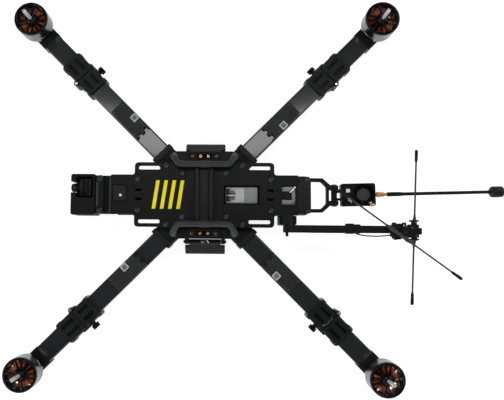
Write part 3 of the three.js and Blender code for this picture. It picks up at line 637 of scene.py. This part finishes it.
def build_tail():
    keep("tail_clamp", SATIN, 0.5)
    keep("tail_yoke", PRINTED, 0.6)
    screws = Piece("tail_screws", SCREW)
    for y in (-22, 22.4):
        screws.screw(144.2, y, 51.6, 3.8)
    screws.done("airframe", "moulded_black")
    fork = Piece("fork_bolt", DARK_STEEL)
    for s in (-1, 1):
        fork.turned([(0, 0), (4.4, 0), (4.4, 1.4), (3.4, 2.2), (0, 2.2)],
                    along((183, 0.9 + s * 13.4, 40), (183, 0.9 + s * 20, 40)), 20)
    fork.done("transmitter_cradle", "flexible_print")
    keep("antenna_cradle", PRINTED, 0.4)

    fan_x = 39.6
    box = Piece("transmitter_case", ANODISED, CRADLE_AT)
    box.slab([rect(8.4, 56.4, -15.9, 15.9, 3)], -1.2, 0.8, 0.3)
    box.slab([rect(8.4, 56.4, -15.9, 15.9, 3), circle(fan_x, 0, 14.9, 48)], 0.6, 8, 0.5)
    for i in range(4):
        box.block(10, 19.5, -13 + i * 2.2, -12 + i * 2.2, 7.8, 8.5, 0.2)
    for x, y in ((12, 13.2), (53.6, 13.2), (53.6, -13.2), (12, -13.2)):
        box.screw(x, y, 7.8, 1.7, height=0.9)
    box.done("transmitter_cradle", "transmitter_black", "video_transmitter")
    socket = Piece("transmitter_socket", WHITE, CRADLE_AT)
    socket.block(15.2, 20.6, 3.2, 8.2, 7.6, 9.6, 0.4)
    socket.done("transmitter_cradle", "module_grey")
    leads = Piece("transmitter_leads", WIRES["white"], CRADLE_AT)
    for i in range(3):
        leads.pipe(
            arc_points(
                (16 + i, -2 - i * 2.6, 8.3), (19, -3.4 - i * 2.4, 10.6), (22.5, -6.6 - i * 2, 8.3), 8,
            ),
            0.55, 8,
        )
    leads.done("transmitter_cradle", "module_grey")
    coax = Piece("coax_socket", ROSE, CRADLE_AT)
    for x, y in ((48.2, -12.2), (52, -14.6), (49.6, -15.2)):
        coax.turned([(0, 0), (1.9, 0), (1.9, 1.6), (1.2, 2), (0, 2)], Matrix.Translation((x, y, 7.7)), 16)
    coax.block(47, 53, -16.6, -14.6, 2, 7.4, 0.3)
    coax.done("transmitter_cradle", "gold")

    blades = Piece("fan_hub", FAN, CRADLE_AT @ Matrix.Translation((fan_x, 0, 0)))
    blades.turned([(0, 1.2), (8.6, 1.2), (8.9, 2), (8.9, 6.6), (8.3, 7.3), (0, 7.4)], sides=40)
    blades.done("fan", "fan_black", "transmitter_fan")
    blades = Piece("fan_blades", SATIN, CRADLE_AT @ Matrix.Translation((fan_x, 0, 0)))
    for i in range(FAN_BLADES):
        root = i * 2 * math.pi / FAN_BLADES
        rows = []
        for k in range(6):
            r = 7.8 + k * 1.28
            a = root + k * 0.09
            lead, trail = a - 0.2, a + 0.24
            rows.append(
                [
                    (r * math.cos(lead), r * math.sin(lead), 2.2),
                    (r * math.cos(trail), r * math.sin(trail), 6.2),
                    (r * math.cos(trail), r * math.sin(trail), 6.8),
                    (r * math.cos(lead), r * math.sin(lead), 2.8),
                ],
            )
        blades.rings(rows)
    blades.done("fan", "fan_black")

    axis = CRADLE_AT @ along((56.4, 0, 1.5), (250, 0, 1.5))
    plug = Piece("coax_plug", GOLD)
    plug.turned(
        [
            (0, 0), (2.6, 0), (2.6, 2.4), (3.7, 2.8), (3.9, 3.4), (3.9, 8.2), (3.7, 8.8), (3.3, 9.2),
            (3.4, 11), (3.1, 13), (2.3, 13.6), (2.2, 17.6), (0, 17.6),
        ],
        axis, 24,
    )
    plug.turned([(4.15, 3.6), (4.15, 7.9), (0, 7.9), (0, 3.6)], axis, 6)
    plug.done("transmitter_cradle", "gold", "antenna_plug")
    stalk = Piece("aerial_stalk", RUBBER)
    stalk.turned(
        [
            (0, 17.4), (2.8, 17.4), (3, 18), (3, 34), (2.8, 36), (2.35, 41), (2.3, 100), (2.3, 159),
            (2.6, 161), (2.9, 162.4),
        ],
        axis, 24,
    )
    stalk.done("transmitter_cradle", "antenna_black", "video_antenna")
    cap = Piece("aerial_cap", SATIN)
    cap.turned(
        [
            (0, 160.8), (3, 160.9), (6.2, 161.4), (7.4, 162.6), (7.8, 164.6), (7.9, 168), (7.8, 174.6),
            (7.5, 176.8), (6.6, 178), (5.4, 178.5), (3, 178.6), (0, 178.6),
        ],
        axis, 40,
    )
    cap.done("transmitter_cradle", "antenna_black")


def build_boom():
    x, z = BOOM_AXIS
    keep("boom_post", MOULDED, 0.5)
    mount = Piece("aerial_mount", PRINTED)
    mount.block(252, 261, -57, -40.5, 66, 77, 1.6)
    mount.slab([circle(z, 262.5, 5.4, 24)], -55.4, -39, 0.8, "Y")
    mount.block(262, 277, -54, -43, 66.4, 76, 1.4)
    mount.turned(
        [(0, 66.6), (6.6, 66.6), (7.2, 67.2), (7.2, 76.2), (6.4, 77.4), (0, 77.6)],
        Matrix.Translation((270, -50.5, 0)), 28,
    )
    mount.block(275, 289, -58, -40, 66, 76, 1.4)
    mount.block(288, 293.4, -53.5, -44.5, 67.5, 74, 0.9)
    for y in (-36.4, -61.4):
        mount.block(277.5, 289.5, y, y + 2.4, 67.6, 73.6, 0.7)
    mount.block(280, 287, -62, -35, 68.6, 73.4, 0.9)
    mount.block(257, 266, -60.4, -55, 68, 75, 1.2)
    mount.done("boom", "flexible_print", "antenna_mount")
    bar = Piece("boom_bar", MOULDED)
    bar.slab(
        [
            rounded(
                [
                    (z - 5.2, x - 5.3, 4.6), (z + 5.2, x - 5.3, 4.6), (z + 5.2, 229, 0.8),
                    (z + 4.2, 230, 0.4), (z + 4.2, 251, 1), (z - 4.2, 251, 1), (z - 4.2, 230, 0.4),
                    (z - 5.2, 229, 0.8),
                ],
                4,
            ),
        ],
        -52.2, -42.1, 0.9, "Y",
    )
    for start in (127, 147, 167, 215):
        bar.block(start, start + 12, -50.2, -44.2, z + 4.8, z + 5.7, 0.35)
    bar.done("boom", "boom_black", "antenna_boom")
    clip = Piece("boom_clip", PRINTED)
    clip.slab([rect(-53.4, -39.4, z - 6, z + 6, 2.4)], 192, 202, 0.8, "X")
    clip.slab([rect(-52.9, -40.4, z - 5.6, z + 5.8, 2.4)], 203, 211, 0.8, "X")
    clip.block(196, 207, -48, -44, z + 4, z + 6.4, 0.5)
    clip.done("boom", "flexible_print")
    wire = Piece("boom_wire", WIRES["black"])
    wire.pipe(
        [
            (206, -52.8, z - 2), (212, -54.6, z - 3), (222, -55.8, z - 3.5), (234, -56.2, z - 3.2),
            (246, -55.4, z - 2), (256, -54, z + 1),
        ],
        0.9, 10,
    )
    wire.pipe([(118, -51.4, z + 4.6), (150, -51.8, z + 4.8), (190, -51.8, z + 4.8)], 0.8, 10)
    wire.done("boom", "boom_black")
    bolts = Piece("mount_bolts", DARK_STEEL)
    for bx, by, bz in ((256.4, -44.5, 76.8), (270, -50.5, 77.4), (279.5, -44.4, 75.8), (285, -55, 75.8)):
        bolts.screw(bx, by, bz, 2.1, height=1.4)
    bolts.done("boom", "flexible_print")
    ties = Piece("mount_ties", RUBBER)
    for tx in (255, 268.5):
        ties.slab(
            [rect(-59.4, -37.4, 65.6, 77.4, 3), rect(-58.2, -38.6, 66.6, 76.4, 2.4)], tx, tx + 3, 0.3,
            "X",
        )
    ties.block(256, 260, -61, -57.6, 70, 75, 0.5)
    ties.done("boom", "whip_rubber")

    for name, start, end, centre in (("whip_cross", (279.1, -147.3, 71), (288.7, 61.3, 71), 98),
                                     ("whip_slant", (342.5, -112.3, 79), (180.7, 5.3, 79), 100)):
        length = (Vector(end) - Vector(start)).length
        at = along(start, end)
        rod = Piece(f"{name}_rod", WHIP)
        rod.turned(
            [
                (0, 14), (1.15, 14.2), (1.2, centre - 24), (1.6, centre - 20), (3.0, centre - 13),
                (3.2, centre - 11.6), (2.4, centre - 10.6), (2.4, centre + 10.6), (3.2, centre + 11.6),
                (3.0, centre + 13), (1.6, centre + 20), (1.2, centre + 24), (1.15, length - 14.2),
                (0, length - 14),
            ],
            at, 18,
        )
        rod.done("boom", "whip_rubber", name)
        tips = Piece(f"{name}_tips", RUBBER)
        for flip in (0, 1):
            tip = [
                (0, 0), (1.4, 0.1), (2, 0.9), (2.15, 2.4), (2.15, 8), (1.9, 11), (2.05, 13), (1.7, 15.4),
                (1.2, 17.2), (0, 17.2),
            ]
            if flip:
                tip = [(r, length - s) for r, s in reversed(tip)]
            tips.turned(tip, at, 18)
        tips.done("boom", "whip_rubber")


# ---------------------------------------------------------------- arms and motors
def tube_loop(width, low, high, r):
    return rect(-width / 2, width / 2, low, high, r, 4)


def joint_cover(name, x0, x1, body, place):
    """Ribbed cover on top of a joint half, with two long slots."""
    cover = Piece(name, JOINT_COVER)
    slots = [rect(x0 + 5.2, x1 - 5, y - 2.4, y + 2.4, 1.6) for y in (-6.4, 6.4)]
    cover.slab(
        [rect(x0 + 0.4, x1 - 0.4, -14.6, 14.6, 2.2)] + slots, JOINT_HIGH - 0.3, JOINT_HIGH + 1.8, 0.5,
        "Z", place,
    )
    cover.done(body, "joint_black")


def joint_half(piece, x0, x1, knuckles, side, place):
    """One half of a fold joint: a rounded shell around the tube, with ribs and its knuckles."""
    shell = rounded(
        [(-16.5, JOINT_LOW, 3), (16.5, JOINT_LOW, 3), (16.5, JOINT_HIGH, 3), (-16.5, JOINT_HIGH, 3)], 4,
    )
    bore = tube_loop(28.4, 5.8, 28.2, 2.4)
    inner = x0 < SPLIT_X
    ends = ((x0, x0 + 14.4), (x0 + 14.2, x1)) if inner else ((x0, x1 - 15.8), (x1 - 16, x1))
    hollow = 0 if inner else 1
    for i, (a, b) in enumerate(ends):
        loops = [shell, bore] if i == hollow else [shell]
        piece.slab(loops, a, b, 0.5, "X", place)
    near = x1 - 9 if inner else x0
    far = x0 if inner else x1 - 8
    for start, length, reach in ((near, 9, 18.6), (far, 8, 17.8)):
        piece.block(start, start + length, -side * reach, -side * 15, 9, 25, 0.9, place)
    piece.block(far, far + 8, side * 15, side * 17.8, 9, 25, 0.9, place)
    for z0, z1 in knuckles:
        centre = Matrix.Translation((SPLIT_X, side * PIN_OFFSET, 0))
        piece.turned(
            [(0, z0), (3.8, z0), (4, z0 + 0.3), (4, z1 - 0.3), (3.8, z1), (0, z1)], place @ centre, 28,
        )
        xs = sorted((SPLIT_X, SPLIT_X + (-8 if inner else 8)))
        ys = sorted((side * 13, side * PIN_OFFSET))
        piece.block(*xs, *ys, z0, z1, 0.3, place)


def build_arm(suffix, degrees, side):
    arm = f"arm_{suffix}"
    turn = Matrix.Rotation(math.radians(degrees), 4, "Z")
    gloss = TUBE_GLOSS[degrees % 180]
    for name, x0, x1, body, slot, node in (
            ("inner_tube", 46, 236, "airframe", "arm_tube_gloss", "arm_inner"),
            ("outer_tube", 265.4, 364, arm, "arm_tube_dark", "arm_outer")):
        tube = Piece(f"{name}_{suffix}", gloss)
        tube.slab(
            [tube_loop(TUBE_WIDTH, TUBE_LOW, TUBE_HIGH, 2.5), tube_loop(24.4, 7.8, 26.2, 1)], x0, x1,
            0.25, "X", turn,
        )
        tube.done(body, slot, f"{node}_{suffix}")
    plug = Piece(f"end_plug_{suffix}", MOULDED)
    plug.slab([tube_loop(24.2, 8, 26, 1)], 356, 366, 0.6, "X", turn)
    plug.slab([tube_loop(28, 6, 28, 2.5)], 363.9, 366, 0.6, "X", turn)
    plug.done(arm, "joint_black")

    boot = Piece(f"motor_boot_{suffix}", RUBBER)
    boot.slab([tube_loop(30, 4.9, 28.7, 3), tube_loop(28.1, 5.9, 28.05, 2.5)], 322, 365, 0.3, "X", turn)
    boot.done(arm, "joint_black")

    collar = Piece(f"sleeve_lip_{suffix}", SATIN)
    collar.slab(
        [tube_loop(34.4, 1.2, 32.6, 3.6), tube_loop(28.6, 5.7, 28.3, 2.4)], 82.5, 90.3, 0.7, "X", turn,
    )
    collar.done("airframe", "moulded_black")

    # Speed controller: notched cover, label, end teeth and screws.
    cover = Piece(f"controller_cover_{suffix}", CONTROLLER)
    w = 12.4
    notched = rounded(
        [
            (127, -w, 0.6), (181.6, -w + 0.8, 2), (181.6, w - 0.8, 2), (127, w, 0.6), (127, 7.5, 0.6),
            (131, 5.5, 1), (131, 2.5, 1), (127, 1, 0.6), (127, -4, 0.6), (132, -5.5, 1), (132, -9.5, 1),
            (127, -10.5, 0.4),
        ],
        3,
    )
    cover.slab([notched], TUBE_HIGH, 33.8, 0.6, "Z", turn)
    for i in range(9):
        y = -9.4 + i * 2.35
        cover.block(181.3, 183.2, y - 0.7, y + 0.7, TUBE_HIGH, 31.6, 0.25, turn)
    for i in range(6):
        cover.block(160 + i * 3, 161.4 + i * 3, -9, 9, 33.6, 34.1, 0.2, turn)
    cover.done("airframe", "controller_cover", f"speed_controller_{suffix}")
    tag = Piece(f"controller_tag_{suffix}", LABEL)
    tag.slab([rect(147.4, 157.4, -12.2, -2.6, 0.8)], 33.75, 34.0, 0.06, "Z", turn)
    tag.done("airframe", "module_grey")
    tag = Piece(f"controller_tag_patch_{suffix}", LABEL_GREY)
    tag.slab([rect(149.2, 155.6, -10.6, -4.2, 0.3)], 33.95, 34.1, 0.04, "Z", turn)
    tag.done("airframe", "module_grey")
    heads = Piece(f"controller_heads_{suffix}", DARK_STEEL)
    for x, y in ((135, 9.6), (178.4, 8.6), (178.4, -8.6), (141.5, -9.4)):
        heads.screw(x, y, 33.6, 1.5, turn, 0.8)
    heads.done("airframe", "controller_cover")

    # Fold joint: two shells with knuckles, covers, pin and bolts.
    inner = Piece(f"fold_inner_{suffix}", ANODISED)
    joint_half(
        inner, JOINT_START, SPLIT_X - SPLIT_GAP,
        [(JOINT_LOW, 12 - KNUCKLE_GAP), (22 + KNUCKLE_GAP, JOINT_HIGH)], side, turn,
    )
    inner.done("airframe", "joint_black", f"joint_inner_{suffix}")
    joint_cover(f"fold_cover_inner_{suffix}", JOINT_START, SPLIT_X - SPLIT_GAP, "airframe", turn)
    outer = Piece(f"fold_outer_{suffix}", ANODISED)
    joint_half(outer, SPLIT_X + SPLIT_GAP, JOINT_END, [(12, 22)], side, turn)
    outer.done(arm, "joint_black", f"joint_outer_{suffix}")
    joint_cover(f"fold_cover_outer_{suffix}", SPLIT_X + SPLIT_GAP, JOINT_END, arm, turn)
    pin = Piece(f"fold_pin_{suffix}", STEEL)
    pin.turned(
        [
            (0, JOINT_HIGH - 1), (2.4, JOINT_HIGH - 1), (2.4, JOINT_HIGH + 0.7), (1.9, JOINT_HIGH + 1.3),
            (0, JOINT_HIGH + 1.4),
        ],
        turn @ Matrix.Translation((SPLIT_X, side * PIN_OFFSET, 0)), 20,
    )
    pin.done("airframe", "joint_black")
    for end, body, spots in (("inner", "airframe", (226, 245.5)), ("outer", arm, (255.5, 277))):
        bolts = Piece(f"fold_bolts_{end}_{suffix}", DARK_STEEL)
        for x in spots:
            for y in (-13.2, 13.2):
                bolts.screw(x, y, JOINT_HIGH - 0.4, 1.9, turn, 1.2)
        bolts.done(body, "joint_black")

    knob = Piece(f"thumb_screw_{suffix}", ANODISED)
    away = -side
    axis = turn @ along((KNOB_X, away * 19.55, 17), (KNOB_X, away * 30, 17))
    teeth = []
    for i in range(48):
        r = 5.65 if i % 2 else 5.15
        a = 2 * math.pi * i / 48
        teeth.append((r * math.cos(a), r * math.sin(a)))
    knob.slab([teeth], 0.1, 6.4, 0.25, "Z", axis)
    knob.turned([(0, 6.3), (3.6, 6.3), (3.4, 6.6), (1.6, 6.6), (1.5, 5.7), (0, 5.7)], axis, 24)
    knob.turned([(0, -3), (3.2, -3), (3.2, 0.2), (0, 0.2)], axis, 20)
    knob.done(f"knob_{suffix}", "knob_black", f"joint_knob_{suffix}")
    if suffix == "rear_left":
        latch = Piece("latch_wire", STEEL)
        latch.pipe(
            [
                (246, -11, 32), (248, -7, 32.2), (250, -3, 32.2), (248.4, 1, 32.2), (249.6, 5, 32.2),
                (247.5, 9, 32),
            ],
            0.6, 10, turn,
        )
        latch.done("airframe", "joint_black")
    build_motor(suffix, arm, turn)


def build_motor(suffix, arm, turn):
    at = turn @ Matrix.Translation((MOTOR_X, 0, 0))
    base = Piece(f"motor_base_{suffix}", BELL_BLACK)
    base.turned(
        [
            (0, 28), (16.4, 28), (16.8, 28.5), (16.8, 31.6), (16, 33), (11, 34.6), (8.6, 36), (8.6, 39),
            (0, 39),
        ],
        at, 48,
    )
    for i in range(4):
        a = math.pi / 4 + i * math.pi / 2
        base.screw(13.2 * math.cos(a), 13.2 * math.sin(a), 32.2, 1.8, at, 1.0)
    base.done(arm, "motor_bell", f"motor_stator_{suffix}")
    core = Piece(f"motor_core_{suffix}", CORE)
    core.turned([(2.8, 38.5), (9.2, 38.5), (9.2, 57), (6, 57.4), (2.8, 57.4)], at, 36, closed=True)
    for i in range(MOTOR_SLOTS):
        slot = at @ Matrix.Rotation(i * 2 * math.pi / MOTOR_SLOTS, 4, "Z")
        core.slab(
            [
                rounded(
                    [
                        (8.6, -0.8, 0), (18.6, -0.8, 0.4), (20.4, -4.2, 0.4), (20.9, 0, 1),
                        (20.4, 4.2, 0.4), (18.6, 0.8, 0.4), (8.6, 0.8, 0),
                    ],
                    2,
                ),
            ],
            41, 53.5, 0.2, "Z", slot,
        )
    core.done(arm, "motor_windings")
    coils = Piece(f"motor_coils_{suffix}", COPPER)
    for i in range(MOTOR_SLOTS):
        slot = at @ Matrix.Rotation(i * 2 * math.pi / MOTOR_SLOTS, 4, "Z")
        for k in range(7):
            x = 10.6 + k * 1.22
            half = 1.0 + k * 0.09
            loop = [
                (x, -half, 41.2), (x, -half, 53.4), (x, -half * 0.6, 55.1), (x, 0, 55.7),
                (x, half * 0.6, 55.1), (x, half, 53.4), (x, half, 41.2), (x, half * 0.6, 39.6),
                (x, 0, 39), (x, -half * 0.6, 39.6),
            ]
            rings = []
            count = len(loop)
            for m, p in enumerate(loop):
                before, after = Vector(loop[m - 1]), Vector(loop[(m + 1) % count])
                ahead = (after - before).normalized()
                out = ahead.cross(Vector((1, 0, 0)))
                rings.append(
                    [
                        Vector(p) + Vector((1, 0, 0)) * (0.62 * math.cos(q)) + out * (0.62 * math.sin(q))
                        for q in [n * math.pi / 3 for n in range(6)]
                    ],
                )
            coils.rings(rings, True, slot)
    coils.done(arm, "motor_windings")

    rotor = f"rotor_{suffix}"
    can = Piece(f"motor_can_{suffix}", GUNMETAL)
    can.turned(
        [
            (22.0, 34.8), (23.5, 34.8), (23.9, 35.2), (23.9, 42.4), (23.6, 42.7), (23.6, 43.3),
            (23.9, 43.6), (23.95, 44), (23.95, 59.6), (23.7, 60.2), (22.0, 60.2),
        ],
        at, 64, closed=True,
    )
    can.done(rotor, "motor_bell", f"motor_bell_{suffix}")
    magnets = Piece(f"motor_magnets_{suffix}", DARK_STEEL)
    for i in range(MOTOR_MAGNETS):
        slot = at @ Matrix.Rotation(i * 2 * math.pi / MOTOR_MAGNETS, 4, "Z")
        magnets.block(21.45, 22.1, -4, 4, 40, 56, 0.2, slot)
    magnets.done(rotor, "motor_bell")
    cap = Piece(f"motor_cap_{suffix}", BELL_BLACK)
    cap.turned(
        [
            (20.2, 60), (23.8, 60), (23.9, 60.6), (23.9, 61.6), (23.4, 63), (22.2, 63.8), (21.2, 64),
            (20.2, 63.2),
        ],
        at, 64, closed=True,
    )
    cap.turned(
        [(0, 59), (7.6, 59), (8.6, 60.2), (8.4, 62.6), (7.2, 64.4), (5.2, 65.6), (3.6, 65.8), (0, 65.8)],
        at, 40,
    )
    for i in range(BELL_SPOKES):
        spoke = at @ Matrix.Rotation((i + 0.03) * 2 * math.pi / BELL_SPOKES, 4, "Z")
        cap.slab(
            [
                rounded(
                    [
                        (7, -1.9, 0), (11, -1.0, 1), (18, -1.0, 1), (21.4, -2.4, 0), (21.4, 2.4, 0),
                        (18, 1.0, 1), (11, 1.0, 1), (7, 1.9, 0),
                    ],
                    3,
                ),
            ],
            60.2, 62.9, 0.35, "Z", spoke,
        )
    cap.done(rotor, "motor_bell")
    heads = Piece(f"prop_bolts_{suffix}", DARK_STEEL)
    for i in range(4):
        a = i * math.pi / 2
        heads.screw(5.6 * math.cos(a), 5.6 * math.sin(a), 65.2, 1.2, at, 0.7)
    heads.done(rotor, "motor_bell")
    shaft = Piece(f"prop_shaft_{suffix}", SHAFT)
    shaft.turned(
        [
            (0, 59), (2.5, 59), (2.5, 66), (2.35, 66.3), (2.35, 67), (2.5, 67.3), (2.5, 89.4),
            (2.2, 89.9), (1.1, 90), (0.95, 87), (0, 87),
        ],
        at, 28,
    )
    shaft.done(rotor, "motor_bell")


# ---------------------------------------------------------------- scene
def build_studio():
    """A pale floor under the legs, an even sky, four area lights and the calibrated view."""
    floor = bpy.data.meshes.new("floor")
    corners = ((-1, -1), (1, -1), (1, 1), (-1, 1))
    floor.from_pydata(
        [(x * FLOOR_REACH, y * FLOOR_REACH, FLOOR_Z) for x, y in corners], [], [(0, 1, 2, 3)],
    )
    pale = surface("studio_floor", (0.4, 0.4, 0.4), 0.9, vary=0.03, grain=60, bump=0.0, specular=0.1)
    lit = pale.node_tree.nodes["Principled BSDF"]
    lit.inputs["Emission Color"].default_value = (1, 1, 1, 1)
    lit.inputs["Emission Strength"].default_value = FLOOR_GLOW
    floor.materials.append(pale)
    made = bpy.data.objects.new("floor", floor)
    bpy.context.scene.collection.objects.link(made)

    world = bpy.data.worlds.new("studio")
    world.use_nodes = True
    world.node_tree.nodes["Background"].inputs["Color"].default_value = (1, 1, 1, 1)
    world.node_tree.nodes["Background"].inputs["Strength"].default_value = 0.12
    bpy.context.scene.world = world
    lights = (
        ("strip_far", (0.0, 0.39, 1.63), (1.5, 0.22), 6, (0, 0.39, 0)),
        ("key", (-2.2, -1.0, 1.5), (1.6, 1.3), 36, (0, 0, 0)),
        ("fill", (2.3, 1.2, 1.5), (1.6, 1.3), 30, (0, 0, 0)),
        ("front", (0.2, -2.6, 1.3), (2.0, 1.0), 24, (0, 0, 0)),
    )
    for name, place, size, power, target in lights:
        data = bpy.data.lights.new(name, "AREA")
        data.shape = "RECTANGLE"
        data.size, data.size_y = size
        data.energy = power
        lamp = bpy.data.objects.new(name, data)
        lamp.location = place
        lamp.rotation_mode = "QUATERNION"
        lamp.rotation_quaternion = (Vector(place) - Vector(target)).to_track_quat("Z", "Y")
        bpy.context.scene.collection.objects.link(lamp)

    camera = bpy.data.cameras.new("camera")
    camera.sensor_width = 36
    camera.sensor_fit = "HORIZONTAL"
    camera.lens = VIEW_LENS
    camera.shift_x, camera.shift_y = VIEW_SHIFT
    camera.clip_start = 0.01
    camera.clip_end = 50
    view = bpy.data.objects.new("camera", camera)
    view.location = VIEW_AT
    view.rotation_euler = VIEW_TURN
    bpy.context.scene.collection.objects.link(view)
    bpy.context.scene.camera = view
    bpy.context.scene.view_settings.view_transform = "Standard"


build_studio()
build_deck()
build_core()
build_sides()
build_nose()
build_tail()
build_boom()
for arm_suffix, (arm_degrees, pin_side) in ARMS.items():
    build_arm(arm_suffix, arm_degrees, pin_side)
